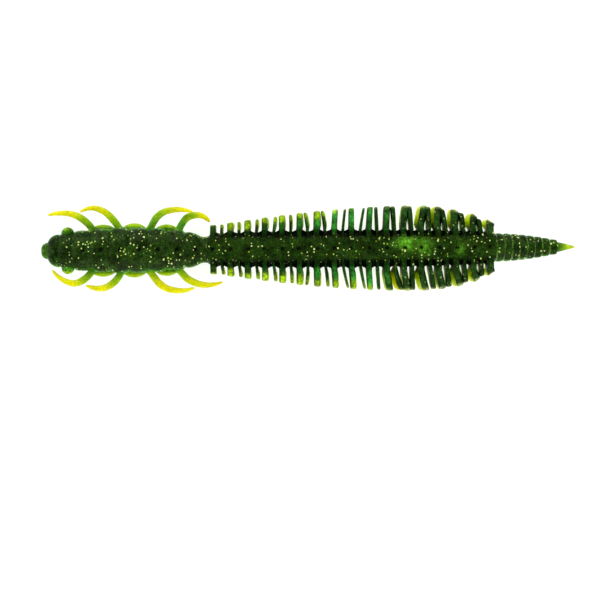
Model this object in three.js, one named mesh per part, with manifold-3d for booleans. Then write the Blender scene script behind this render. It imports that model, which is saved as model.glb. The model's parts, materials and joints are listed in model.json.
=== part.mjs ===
// Soft plastic nymph worm, 100 mm long: a two-colour plastisol moulding with a blunt head, a ringed
// thorax that carries eight tendril legs, a long abdomen of alternating thick and thin side ribs, and a
// ringed, pointed tail. It is divided where the soft moulding really flexes: at the grooves between its
// rings and at the roots of its legs.
//
// Frame, in millimetres: +X runs from head to tail, +Z is the back, and the worm's own left is -Y. The
// origin is under the middle of the worm, at the height of its flat belly. "Station" is the distance
// from the tip of the nose along X.

import * as THREE from "three";
import { mergeVertices } from "three/addons/utils/BufferGeometryUtils.js";
import Module from "manifold-3d";

const wasm = await Module();
wasm.setup();

// ---- Driving dimensions --------------------------------------------------------------------------

const LENGTH = 100;
const AXIS_HEIGHT = 3.3; // of the body's centre line above the belly
const ROUND_SIDES = 16; // facets around a turned piece

const HEAD_LENGTH = 6;
const HEAD_FLATNESS = 0.86; // height over width
const NOSE_FLAT_RADIUS = 0.8;
const EYE = { station: 4.72, side: 3.3, lift: 0.35, radius: 1.22 };

const THORAX_PITCH = 3.5;
const THORAX_HALF_WIDTHS = [3.75, 4, 4.15, 4.1, 3.95, 3.65, 3.3];
const THORAX_FLATNESS = 0.84;
const THORAX_GROOVE_DEPTH = 0.4;
const THORAX_DISH = 0.14; // how far a ring's rims stand back from its ends
const WAIST_STATION = 30.1; // where the last thorax ring ends
const WAIST_RADIUS = 2.45;
const NECK_SETBACK = 0.1; // of the neck's rims inside the waist
const NECK_DIP = 0.15; // of its middle inside its rims
const NECK_FLATNESS = 0.95;

const RIB_RINGS = 17;
const RIB_PITCH = 3.23;
const FIRST_RIB_STATION = 32.165;
const CORE_LENGTH = 2.2; // of one ring's barrel, along X
const CORE_FLATNESS = 0.88;
const CORE_RIM_DROP = 0.25; // of a barrel's rims below its middle
const WEB_DEPTH = 0.35; // of the groove between two barrels
const THICK_RIB = 1.2;
const THIN_RIB = 0.55;
const BAND_HALF_WIDTH = 2.1; // of the smooth band along the back
const FRONT_REACH = 4.6; // of the first ribs, from the centre plane
const WIDEST_REACH = 8;
const REAR_REACH = 4.85;
const WIDEST_RING = 12.5; // the longest ribs are between the 12th and 13th rings
const BAND_LIFT = 0.1; // of the band over the ribs, above the barrel
const TIP_HALF_HEIGHT = 1.1; // of a rib at its outer end
const TIP_ROUNDING = 0.4;
const THIN_RIB_SETBACK = 0.3; // of a thin rib's outer end behind its thick neighbours'
const THIN_RIB_LIFT = 0.1; // of its underside above the belly

const TAIL_STATION = 85.25;
const TAIL_RING_PITCH = 1.42;
const TAIL_LINKS = 4;
const RINGS_PER_LINK = 2;
const TAIL_BASE_RADIUS = 2.68;
const TAIL_END_RADIUS = 1.23;
const TAIL_TIP_RADIUS = 0.92;
const TAIL_GROOVE_SHARE = 0.86; // of a ring's radius, at the grooves beside it
const TAIL_DISH_SHARE = 0.13; // of a link's radius, that its rims stand back from its ends

const TAIL_FLATNESS = 0.95;
const TAIL_POINT_RADIUS = 0.14;

const LEG_THICKNESS = 0.8;
const LEG_ROOT_WIDTH = 1.35;
const LEG_TIP_WIDTH = 0.4;
const LEG_TAPER = 2.2; // a leg keeps its width over its first half and narrows towards its tip
const LEG_LIFT = 0.2; // of a leg's middle above the centre line

const LOBE_THICKNESS = 0.8;
const LOBE_DROP = 0.9; // of a lobe's underside below the centre line
const LOBE_REACH = 5.2; // from the centre plane to a lobe's outer edge

const CUT_SCALE = 1.04; // of a piece that another is cut clear of
const HAIRLINE = 0.05; // between flat ends that meet

// Each leg's centre line in plan is a cubic curve of [station, distance out from the centre plane]:
// its root, two handles and its tip. The front two pairs sweep forwards and the rear two backwards.
const LEGS = [
  { name: "leg_right_1", side: 1, line: [[9.3, 4.05], [8, 7.2], [4.6, 7.3], [1.3, 6.7]] },
  { name: "leg_right_2", side: 1, line: [[14.5, 4.45], [13, 7.6], [9.8, 8.6], [7.3, 7.3]] },
  { name: "leg_right_3", side: 1, line: [[20.8, 4.3], [21.8, 7.4], [25, 8.05], [27.7, 7.4]] },
  { name: "leg_right_4", side: 1, line: [[26.2, 3.95], [27.1, 6.7], [30, 7.2], [31.6, 5]] },
  { name: "leg_left_1", side: -1, line: [[9.4, 4.05], [8, 7.1], [4.2, 6.5], [2, 4.1]] },
  { name: "leg_left_2", side: -1, line: [[14.6, 4.45], [13.2, 7], [10.7, 7.7], [8.5, 6.85]] },
  { name: "leg_left_3", side: -1, line: [[20.7, 4.3], [22.4, 7.1], [25.2, 8.3], [28.4, 7.3]] },
  { name: "leg_left_4", side: -1, line: [[26.3, 3.95], [28.1, 6.3], [31, 7.3], [33.9, 6.25]] },
];

// Side lobes: the thorax ring that each pair grows from, and the stations where it starts and ends.
const LOBES = [
  { ring: 2, from: 10.1, to: 13.7 },
  { ring: 4, from: 15.4, to: 19.9 },
  { ring: 6, from: 21.7, to: 25.4 },
];

// ---- Materials -----------------------------------------------------------------------------------

const bodyPlastisol = new THREE.MeshStandardMaterial({ color: 0x1f4a1c, roughness: 0.32, metalness: 0 });
const ribPlastisol = new THREE.MeshStandardMaterial({ color: 0x2f7a24, roughness: 0.35, metalness: 0 });
const legPlastisol = new THREE.MeshStandardMaterial({ color: 0xb4cc10, roughness: 0.35, metalness: 0 });
const tipPlastisol = new THREE.MeshStandardMaterial({ color: 0x8fae12, roughness: 0.35, metalness: 0 });

// ---- Solids and geometry -------------------------------------------------------------------------

// A closed three.js geometry as a solid that can be joined and cut.
function solidOf(geometry) {
  const bare = geometry.clone();
  bare.deleteAttribute("normal");
  bare.deleteAttribute("uv");
  const merged = mergeVertices(bare, 1e-4);
  return new wasm.Manifold(
    new wasm.Mesh({
      numProp: 3,
      vertProperties: merged.attributes.position.array,
      triVerts: new Uint32Array(merged.index.array),
    }),
  );
}

function geometryOf(solid) {
  const mesh = solid.getMesh();
  const geometry = new THREE.BufferGeometry();
  geometry.setAttribute("position", new THREE.BufferAttribute(mesh.vertProperties, 3));
  geometry.setIndex(new THREE.BufferAttribute(mesh.triVerts, 1));
  geometry.computeVertexNormals();
  return geometry;
}

// A shape turned about X and squeezed in height. The profile holds [x, radius] pairs from front to back.
function turned(profile, flatness, sides = ROUND_SIDES) {
  const first = profile[0][0];
  const last = profile[profile.length - 1][0];
  const outline = [[first, 0], ...profile, [last, 0]].map(([x, radius]) => new THREE.Vector2(radius, x));
  const geometry = new THREE.LatheGeometry(outline, sides);
  geometry.rotateZ(-Math.PI / 2);
  geometry.scale(1, 1, flatness);
  return geometry;
}

// The same, with end faces that are shallow cones: each rim stands back from its end by "dish".
function dished(profile, flatness, dish) {
  const first = profile[0];
  const last = profile[profile.length - 1];
  const outline = [
    new THREE.Vector2(0, first[0]),
    new THREE.Vector2(first[1], first[0] + dish),
    ...profile.slice(1, -1).map(([x, radius]) => new THREE.Vector2(radius, x)),
    new THREE.Vector2(last[1], last[0] - dish),
    new THREE.Vector2(0, last[0]),
  ];
  const geometry = new THREE.LatheGeometry(outline, ROUND_SIDES);
  geometry.rotateZ(-Math.PI / 2);
  geometry.scale(1, 1, flatness);
  return geometry;
}

// A shape drawn in the YZ plane, with a thickness centred on X = 0.
function crossPlate(shape, thickness) {
  const geometry = new THREE.ExtrudeGeometry(shape, { depth: thickness, bevelEnabled: false, curveSegments: 5 });
  geometry.translate(0, 0, -thickness / 2);
  const y = new THREE.Vector3(0, 1, 0);
  const z = new THREE.Vector3(0, 0, 1);
  const x = new THREE.Vector3(1, 0, 0);
  return geometry.applyMatrix4(new THREE.Matrix4().makeBasis(y, z, x));
}

// A shape drawn in the XY plane, from "bottom" up to "bottom + thickness".
function flatPlate(shape, bottom, thickness) {
  const geometry = new THREE.ExtrudeGeometry(shape, { depth: thickness, bevelEnabled: false, curveSegments: 5 });
  return geometry.translate(0, 0, bottom);
}

// Everything below the belly plane, as a solid in the frame of a piece at the centre line's height.
function belowBelly() {
  const deep = 2 * AXIS_HEIGHT;
  const box = new THREE.BoxGeometry(deep, 4 * LOBE_REACH, deep);
  return solidOf(box.translate(0, 0, -AXIS_HEIGHT - deep / 2));
}

// ---- Head ----------------------------------------------------------------------------------------

function headGeometry() {
  const outline = [
    [0, 0],
    [NOSE_FLAT_RADIUS, 0],
    [1.35, 0.3],
    [1.62, 0.75],
    [1.7, 1.2],
    [2.3, 1.45],
    [2.95, 2.1],
    [3.15, 2.9],
    [3.05, 3.6],
    [3.3, 4.2],
    [3.4, 5.2],
    [3.2, HEAD_LENGTH - 0.3],
    [0, HEAD_LENGTH - HAIRLINE],
  ].map(([radius, station]) => new THREE.Vector2(radius, station));
  const geometry = new THREE.LatheGeometry(outline, ROUND_SIDES);
  geometry.rotateZ(-Math.PI / 2);
  geometry.scale(1, 1, HEAD_FLATNESS);
  return geometry;
}

// An eye is the part of a ball that stands out of the head.
function eyeGeometry(side) {
  const ball = new THREE.SphereGeometry(EYE.radius, 12, 8);
  ball.translate(EYE.station, side * EYE.side, EYE.lift);
  const socket = headGeometry().scale(1, CUT_SCALE, CUT_SCALE);
  return geometryOf(solidOf(ball).subtract(solidOf(socket)));
}

// ---- Thorax --------------------------------------------------------------------------------------

function thoraxStations(ring) {
  const from = HEAD_LENGTH + (ring - 1) * THORAX_PITCH;
  const to = ring === THORAX_HALF_WIDTHS.length ? WAIST_STATION : from + THORAX_PITCH;
  return { from, to, middle: (from + to) / 2 };
}

// The barrel of one thorax ring, in its own frame.
function thoraxBarrel(ring) {
  const { from, to } = thoraxStations(ring);
  const half = (to - from) / 2 - HAIRLINE;
  const crest = THORAX_HALF_WIDTHS[ring - 1];
  const groove = crest - THORAX_GROOVE_DEPTH;
  const rear = ring === THORAX_HALF_WIDTHS.length ? WAIST_RADIUS : groove;
  const profile = [
    [-half, groove],
    [-0.55 * half, crest - 0.08],
    [0, crest],
    [0.5 * half, 0.15 * rear + 0.85 * crest],
    [half, rear],
  ];
  return dished(profile, THORAX_FLATNESS, THORAX_DISH);
}

// One side lobe in plan: a chord inside the thorax wall and a rounded outer edge.
function lobeShape(lobe, side, middle) {
  const from = lobe.from - middle;
  const to = lobe.to - middle;
  const inner = side * (THORAX_HALF_WIDTHS[lobe.ring - 1] - 0.9);
  const outer = (4 * side * LOBE_REACH - inner) / 3;
  const shape = new THREE.Shape();
  shape.moveTo(from, inner);
  shape.bezierCurveTo(from + 0.2, outer, to - 0.2, outer, to, inner);
  shape.closePath();
  return shape;
}

function thoraxGeometry(ring) {
  const { middle } = thoraxStations(ring);
  let solid = solidOf(thoraxBarrel(ring));
  const lobe = LOBES.find((entry) => entry.ring === ring);
  if (lobe) {
    let lobes = [1, -1]
      .map((side) => solidOf(flatPlate(lobeShape(lobe, side, middle), -LOBE_DROP, LOBE_THICKNESS)))
      .reduce((a, b) => a.add(b));
    for (const neighbour of [ring - 1, ring + 1]) {
      const offset = thoraxStations(neighbour).middle - middle;
      const clear = thoraxBarrel(neighbour).scale(CUT_SCALE, CUT_SCALE, CUT_SCALE);
      lobes = lobes.subtract(solidOf(clear.translate(offset, 0, 0)));
    }
    solid = solid.add(lobes);
  }
  return geometryOf(solid.subtract(belowBelly()));
}

// ---- Legs ----------------------------------------------------------------------------------------

// A tapering crescent around the leg's centre line, in plan, in the frame of the leg's root.
function legGeometry(leg) {
  const points = leg.line.map(([station, out]) => {
    const [rootStation, rootOut] = leg.line[0];
    return new THREE.Vector2(station - rootStation, leg.side * (out - rootOut));
  });
  const line = new THREE.CubicBezierCurve(...points);
  const steps = 8;
  const near = [];
  const far = [];
  for (let i = 0; i <= steps; i += 1) {
    const t = i / steps;
    const middle = line.getPoint(t);
    const along = line.getTangent(t);
    const half = THREE.MathUtils.lerp(LEG_ROOT_WIDTH, LEG_TIP_WIDTH, t ** LEG_TAPER) / 2;
    near.push(new THREE.Vector2(middle.x - along.y * half, middle.y + along.x * half));
    far.unshift(new THREE.Vector2(middle.x + along.y * half, middle.y - along.x * half));
  }
  const shape = new THREE.Shape([...near, ...far]);
  return flatPlate(shape, -LEG_THICKNESS / 2, LEG_THICKNESS);
}

// ---- Abdomen -------------------------------------------------------------------------------------

// How far the ribs reach from the centre plane: short at the waist, widest two thirds of the way back,
// and short again at the tail.
function ribReach(station) {
  const start = FIRST_RIB_STATION;
  const widest = FIRST_RIB_STATION + (WIDEST_RING - 1) * RIB_PITCH;
  const end = FIRST_RIB_STATION + (RIB_RINGS - 1) * RIB_PITCH;
  if (station < widest) {
    const share = (station - start) / (widest - start);
    return THREE.MathUtils.lerp(FRONT_REACH, WIDEST_REACH, Math.sin((share * Math.PI) / 2));
  }
  const share = (station - widest) / (end - widest);
  return THREE.MathUtils.lerp(WIDEST_REACH, REAR_REACH, share ** 2.2);
}

// Half the width of the abdomen's core: a little slimmer at both ends.
function coreRadius(station) {
  const share = (station - FIRST_RIB_STATION) / ((RIB_RINGS - 1) * RIB_PITCH);
  return 2.75 + 0.75 * Math.sin(Math.PI * (0.12 + 0.8 * share)) ** 0.8;
}

// The outline of a pair of ribs seen from the head: flat underneath, a smooth band across the back, and
// both edges falling in to a rounded tip.
function ribShape(reach, core, bottom) {
  const top = core * CORE_FLATNESS + BAND_LIFT;
  const edge = reach - TIP_ROUNDING;
  const half = new THREE.Path();
  half.moveTo(0, bottom);
  half.lineTo(0.45 * reach, bottom);
  half.quadraticCurveTo(0.8 * reach, bottom + 0.3, edge, -TIP_HALF_HEIGHT);
  half.quadraticCurveTo(reach + TIP_ROUNDING, 0, edge, TIP_HALF_HEIGHT);
  half.quadraticCurveTo(0.8 * reach, top - 0.35, BAND_HALF_WIDTH, top);
  half.lineTo(0, top);
  const right = half.getPoints(4);
  const left = right.slice(1, -1).reverse();
  return new THREE.Shape([...right, ...left.map((point) => new THREE.Vector2(-point.x, point.y))]);
}

function ribRingGeometry(station) {
  const core = coreRadius(station);
  const rim = core - CORE_RIM_DROP;
  const half = CORE_LENGTH / 2;
  const profile = [[-half, rim], [-half / 2, core], [half / 2, core], [half, rim]];
  const ribs = crossPlate(ribShape(ribReach(station), core, -AXIS_HEIGHT), THICK_RIB);
  return geometryOf(solidOf(turned(profile, CORE_FLATNESS)).add(solidOf(ribs)));
}

function ribWebGeometry(station) {
  const core = coreRadius(station) - WEB_DEPTH;
  const half = (RIB_PITCH - CORE_LENGTH) / 2 - HAIRLINE;
  const hub = turned([[-half, core], [half, core]], CORE_FLATNESS);
  const outline = ribShape(ribReach(station) - THIN_RIB_SETBACK, core, THIN_RIB_LIFT - AXIS_HEIGHT);
  return geometryOf(solidOf(hub).add(solidOf(crossPlate(outline, THIN_RIB))));
}

function neckGeometry(length) {
  const rim = WAIST_RADIUS - NECK_SETBACK;
  const middle = rim - NECK_DIP;
  return turned([[-length / 2, rim], [0, middle], [length / 2, rim]], NECK_FLATNESS);
}

// ---- Tail ----------------------------------------------------------------------------------------

const TAIL_POINT_STATION = TAIL_STATION + TAIL_LINKS * RINGS_PER_LINK * TAIL_RING_PITCH;

function tailRadius(station) {
  const share = (station - TAIL_STATION) / (TAIL_POINT_STATION - TAIL_STATION);
  return THREE.MathUtils.lerp(TAIL_BASE_RADIUS, TAIL_END_RADIUS, share ** 1.8);
}

// A link of the tail in its own frame, starting at X = 0: bulging rings with a groove between them.
function tailLinkGeometry(station) {
  const profile = [];
  for (let ring = 0; ring < RINGS_PER_LINK; ring += 1) {
    const from = ring * TAIL_RING_PITCH;
    const crest = tailRadius(station + from + TAIL_RING_PITCH / 2);
    if (ring === 0) profile.push([from + HAIRLINE, TAIL_GROOVE_SHARE * crest]);
    profile.push([from + 0.5 * TAIL_RING_PITCH, crest]);
    const end = from + TAIL_RING_PITCH - (ring === RINGS_PER_LINK - 1 ? HAIRLINE : 0);
    profile.push([end, TAIL_GROOVE_SHARE * crest]);
  }
  return dished(profile, TAIL_FLATNESS, TAIL_DISH_SHARE * tailRadius(station));
}

function tailTipGeometry() {
  const length = LENGTH - TAIL_POINT_STATION;
  const base = TAIL_TIP_RADIUS;
  const profile = [
    [HAIRLINE, 0.75 * base],
    [0.12 * length, 0.9 * base],
    [0.5 * length, 0.55 * base],
    [length - 2 * TAIL_POINT_RADIUS, 1.5 * TAIL_POINT_RADIUS],
    [length, 0.5 * TAIL_POINT_RADIUS],
  ];
  return turned(profile, TAIL_FLATNESS, 12);
}

// ---- The scene graph -----------------------------------------------------------------------------

const worm = new THREE.Group();
const centreLine = new THREE.Group();
centreLine.position.set(-LENGTH / 2, 0, AXIS_HEIGHT);
worm.add(centreLine);

// Adds one named piece at a place that is measured from the nose along the centre line.
function addPiece(name, geometry, material, station = 0, out = 0, lift = 0) {
  const mesh = new THREE.Mesh(geometry, material);
  mesh.name = name;
  mesh.position.set(station, out, lift);
  centreLine.add(mesh);
}

const twoDigits = (number) => String(number).padStart(2, "0");

addPiece("head", headGeometry(), bodyPlastisol);
addPiece("eye_right", eyeGeometry(1), ribPlastisol);
addPiece("eye_left", eyeGeometry(-1), ribPlastisol);

for (let ring = 1; ring <= THORAX_HALF_WIDTHS.length; ring += 1) {
  addPiece(`thorax_ring_${ring}`, thoraxGeometry(ring), bodyPlastisol, thoraxStations(ring).middle);
}

for (const leg of LEGS) {
  const [rootStation, rootOut] = leg.line[0];
  addPiece(leg.name, legGeometry(leg), legPlastisol, rootStation, leg.side * rootOut, LEG_LIFT);
}

const neckEnd = FIRST_RIB_STATION - CORE_LENGTH / 2;
const neckLength = neckEnd - WAIST_STATION - 2 * HAIRLINE;
addPiece("neck", neckGeometry(neckLength), bodyPlastisol, (WAIST_STATION + neckEnd) / 2);

for (let ring = 1; ring <= RIB_RINGS; ring += 1) {
  const station = FIRST_RIB_STATION + (ring - 1) * RIB_PITCH;
  addPiece(`rib_ring_${twoDigits(ring)}`, ribRingGeometry(station), ribPlastisol, station);
  if (ring < RIB_RINGS) {
    const groove = station + RIB_PITCH / 2;
    addPiece(`rib_web_${twoDigits(ring)}`, ribWebGeometry(groove), ribPlastisol, groove);
  }
}

for (let link = 1; link <= TAIL_LINKS; link += 1) {
  const station = TAIL_STATION + (link - 1) * RINGS_PER_LINK * TAIL_RING_PITCH;
  addPiece(`tail_link_${link}`, tailLinkGeometry(station), bodyPlastisol, station);
}
addPiece("tail_tip", tailTipGeometry(), tipPlastisol, TAIL_POINT_STATION);

export default worm;
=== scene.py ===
"""Looks of a soft plastic nymph worm: a dark green back with gold flake, fused to a chartreuse belly.

Every visible piece is a smooth skin lofted from cross sections. Sections are worked out in millimetres,
as (x, y, z) with x measured from the tip of the nose towards the tail and z from the body's centre line,
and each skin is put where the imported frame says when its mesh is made.
"""

import json
import math
import random

import bpy
import numpy as np
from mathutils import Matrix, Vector


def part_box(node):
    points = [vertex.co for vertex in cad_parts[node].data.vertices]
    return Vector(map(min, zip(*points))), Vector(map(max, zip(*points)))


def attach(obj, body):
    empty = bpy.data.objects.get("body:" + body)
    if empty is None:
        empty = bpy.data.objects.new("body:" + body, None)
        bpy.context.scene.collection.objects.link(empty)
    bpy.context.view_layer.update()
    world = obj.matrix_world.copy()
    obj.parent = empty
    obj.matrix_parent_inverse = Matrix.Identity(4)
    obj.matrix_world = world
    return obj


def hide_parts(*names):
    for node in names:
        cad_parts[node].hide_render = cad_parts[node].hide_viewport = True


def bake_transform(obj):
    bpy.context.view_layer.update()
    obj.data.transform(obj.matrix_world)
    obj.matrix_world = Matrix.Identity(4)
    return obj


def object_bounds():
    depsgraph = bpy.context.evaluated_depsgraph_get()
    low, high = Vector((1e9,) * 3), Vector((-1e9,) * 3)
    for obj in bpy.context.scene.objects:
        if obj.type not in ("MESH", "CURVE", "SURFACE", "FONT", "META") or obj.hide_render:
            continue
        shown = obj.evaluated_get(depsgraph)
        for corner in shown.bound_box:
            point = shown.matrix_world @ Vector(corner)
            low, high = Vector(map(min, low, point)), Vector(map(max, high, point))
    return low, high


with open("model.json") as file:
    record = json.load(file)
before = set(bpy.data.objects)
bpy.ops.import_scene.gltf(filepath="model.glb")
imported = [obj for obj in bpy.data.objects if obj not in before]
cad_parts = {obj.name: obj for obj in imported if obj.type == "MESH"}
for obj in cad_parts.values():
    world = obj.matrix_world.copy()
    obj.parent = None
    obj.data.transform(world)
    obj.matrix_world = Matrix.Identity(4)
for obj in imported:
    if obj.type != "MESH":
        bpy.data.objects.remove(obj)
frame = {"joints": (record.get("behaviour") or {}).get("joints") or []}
cad_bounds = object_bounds()

MM = 0.001
JOINTS = {joint["name"]: joint for joint in frame["joints"]}
NOSE_X = cad_bounds[0].x
AXIS_Z = JOINTS["neck_bend"]["pos_m"][2]
FLOOR = -AXIS_Z / MM  # the belly plane, from the centre line

RIB_RINGS = 17
RIGHT, LEFT = 1, -1
SIDES = (RIGHT, LEFT)
TENTH = 0.1  # the tables of leans and rolls are in tenths of a millimetre
rng = random.Random(11)


# ---- Colours -------------------------------------------------------------------------------------


def tone(red, green, blue):
    """An sRGB colour, from 0 to 255, as a linear colour."""
    share = np.array([red, green, blue]) / 255
    return np.where(share > 0.04045, ((share + 0.055) / 1.055) ** 2.4, share / 12.92)


OLIVE = tone(29, 55, 11)
BROWN = (*tone(58, 60, 14), 1)
SUNK_GOLD = (*tone(150, 186, 40), 1)
BRIGHT_GOLD = (*tone(240, 255, 170), 1)
# Painted shade, nearly black, for the walls between the ribs, their roots on the belly and the pits in the
# back.
RECESS_SHADE = tone(6, 18, 4)
BOTTLE = tone(22, 58, 12)
# Painted glow, the bright green of backlight shining through the ribs.
BACKLIT_GREEN = tone(50, 144, 46)
REAR_RIB = tone(32, 66, 22)
GRASS = tone(104, 178, 40)
LIME = tone(146, 188, 12)
# Painted highlight for the ribs' rims; also a pale tone in the tail's creases.
PALE_EDGE = tone(190, 208, 130)
STEM_GREEN = tone(64, 112, 16)
TAIL_YELLOW = tone(232, 228, 40)
CHARTREUSE = tone(166, 202, 2)
MOSS = tone(84, 160, 30)
LEMON = tone(214, 232, 24)
PALE_LEMON = tone(218, 230, 110)
YELLOW_LEG = tone(226, 220, 4)
ORANGE_TIP = tone(240, 212, 20)


def blend_colour(first, second, share):
    """Colours between two colours, or arrays of colours, for an array of shares."""
    share = np.clip(np.asarray(share, float), 0, 1)[..., None]
    return np.asarray(first) * (1 - share) + np.asarray(second) * share


def rise(value, low, high):
    """0 below low, 1 above high, and smooth between."""
    share = np.clip((np.asarray(value, float) - low) / (high - low), 0, 1)
    return share * share * (3 - 2 * share)


def hump(value, middle, width):
    return np.exp(-(((np.asarray(value, float) - middle) / width) ** 2))


# ---- Curves and sections -------------------------------------------------------------------------


def spline(knots, count):
    """A smooth curve through the knots, with count points spread evenly over its spans."""
    knots = np.asarray(knots, float)
    ends = np.vstack([2 * knots[0] - knots[1], knots, 2 * knots[-1] - knots[-2]])
    place = np.linspace(0, len(knots) - 1 - 1e-9, count)
    span = place.astype(int)
    t = (place - span)[:, None]
    a, b, c, d = (ends[span + i] for i in range(4))
    square = 2 * a - 5 * b + 4 * c - d
    cube = 3 * b - a - 3 * c + d
    return 0.5 * (2 * b + (c - a) * t + square * t**2 + cube * t**3)


def quadratic(start, handle, end, count):
    """Points on a quadratic curve, without its last."""
    t = np.linspace(0, 1, count, endpoint=False)[:, None]
    start, handle, end = (np.asarray(p, float) for p in (start, handle, end))
    return start * (1 - t) ** 2 + 2 * handle * t * (1 - t) + end * t**2


def oval(half_width, top, bottom, power, count):
    """A squared-off oval in (y, z), from the middle of the back, round the +Y side and the belly."""
    angle = np.linspace(0, 2 * math.pi, count, endpoint=False)
    y = np.sign(np.sin(angle)) * np.abs(np.sin(angle)) ** (2 / power) * half_width
    z = np.sign(np.cos(angle)) * np.abs(np.cos(angle)) ** (2 / power)
    return np.stack([y, np.where(z > 0, z * top, z * bottom)], axis=1)


# ---- Meshes --------------------------------------------------------------------------------------


def skin(name, rows, back, belly, flakes, material):
    """A closed skin through rows of points, (row, point, xyz), with flat ends.

    back and belly are the colours of the two plastisols at each point, and flakes how many gold flakes
    show there, from 0 to 1.
    """
    count, around = rows.shape[:2]
    points = np.concatenate([rows.reshape(-1, 3), rows[:1].mean(1), rows[-1:].mean(1)])
    faces = []
    for row in range(count - 1):
        here, after = row * around, (row + 1) * around
        for point in range(around):
            beside = (point + 1) % around
            faces.append((here + point, after + point, after + beside, here + beside))
    front, rear = count * around, count * around + 1
    last = (count - 1) * around
    for point in range(around):
        beside = (point + 1) % around
        faces.append((front, point, beside))
        faces.append((rear, last + beside, last + point))
    mesh = bpy.data.meshes.new(name)
    placed = points * MM + np.array([NOSE_X, 0, AXIS_Z])
    mesh.from_pydata(placed.tolist(), [], faces)
    mesh.polygons.foreach_set("use_smooth", [True] * len(mesh.polygons))

    def attribute(label, kind, values, field):
        flat = values.reshape(count * around, -1)
        ends = np.stack([flat[:around].mean(0), flat[-around:].mean(0)])
        data = mesh.attributes.new(label, kind, "POINT").data
        data.foreach_set(field, np.concatenate([flat, ends]).astype(np.float32).ravel())

    # The flakes are in the back's plastisol only.
    flakes = flakes * np.maximum(rise(rows[..., 2], -0.5, 0.1), bleed(rows))
    opaque = np.ones((count, around, 1))
    attribute("rest", "FLOAT_VECTOR", rows, "vector")
    attribute("back", "FLOAT_COLOR", np.concatenate([back, opaque], axis=2), "color")
    attribute("belly", "FLOAT_COLOR", np.concatenate([belly, opaque], axis=2), "color")
    attribute("flakes", "FLOAT", flakes, "value")
    mesh.validate()
    piece = bpy.data.objects.new(name, mesh)
    bpy.context.scene.collection.objects.link(piece)
    mesh.materials.append(material)
    return piece


def paint_like(rows, colour):
    return np.broadcast_to(colour, rows.shape).copy()


# ---- Materials -----------------------------------------------------------------------------------


class Nodes:
    """Short calls for building a material's node tree."""

    def __init__(self, name):
        self.material = bpy.data.materials.new(name)
        self.material.use_nodes = True
        self.tree = self.material.node_tree
        self.shader = self.tree.nodes["Principled BSDF"]

    def add(self, kind, inputs=(), **settings):
        node = self.tree.nodes.new(kind)
        for key, value in settings.items():
            setattr(node, key, value)
        for key, value in dict(inputs).items():
            if isinstance(value, bpy.types.NodeSocket):
                self.tree.links.new(value, node.inputs[key])
            else:
                node.inputs[key].default_value = value
        return node

    def attribute(self, label, output):
        return self.add("ShaderNodeAttribute", attribute_name=label).outputs[output]

    def maths(self, operation, first, second=0.0, third=0.0):
        inputs = {0: first, 1: second, 2: third}
        return self.add("ShaderNodeMath", inputs, operation=operation).outputs[0]

    def ramp(self, value, low, high, to_low=0.0, to_high=1.0):
        inputs = {"Value": value, "From Min": low, "From Max": high, "To Min": to_low, "To Max": to_high}
        return self.add("ShaderNodeMapRange", inputs, interpolation_type="SMOOTHSTEP").outputs["Result"]

    def mix(self, share, first, second, blend_type="MIX"):
        node = self.add("ShaderNodeMix", data_type="RGBA", blend_type=blend_type)
        for index, value in ((0, share), (6, first), (7, second)):
            if isinstance(value, bpy.types.NodeSocket):
                self.tree.links.new(value, node.inputs[index])
            else:
                node.inputs[index].default_value = value
        return node.outputs[2]

    def noise(self, vector, scale, detail=2.0):
        inputs = {"Vector": vector, "Scale": scale, "Detail": detail}
        return self.add("ShaderNodeTexNoise", inputs).outputs["Fac"]


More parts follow.
